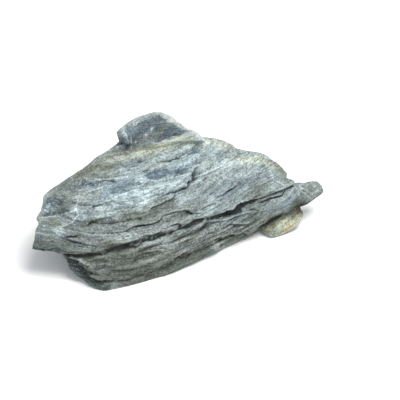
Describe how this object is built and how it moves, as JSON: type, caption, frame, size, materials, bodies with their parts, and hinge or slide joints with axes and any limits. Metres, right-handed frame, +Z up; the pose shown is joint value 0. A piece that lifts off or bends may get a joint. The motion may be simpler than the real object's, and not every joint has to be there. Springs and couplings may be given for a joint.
{
  "type": "seiryu stone",
  "caption": "Layered grey-blue limestone for an aquascape or rock garden: a long, low wedge with overhanging ledges, lying on a flat cleaved underside.",
  "frame": {"origin": "middle of the bounding box's footprint, on the plane of the flat underside that the stone lies on", "axes": "+Z up from the underside; +X along the stone's length, from the overhanging beak at the left end to the thin tip at the right end, seen from the front; -Y towards the layered front with the long crack"},
  "size_m": [0.3046, 0.15, 0.1107],
  "materials": {
    "stone": "matt, rough, layered grey-blue limestone with white calcite"
  },
  "bodies": {
    "root": {"stone": "stone"}
  },
  "joints": []
}
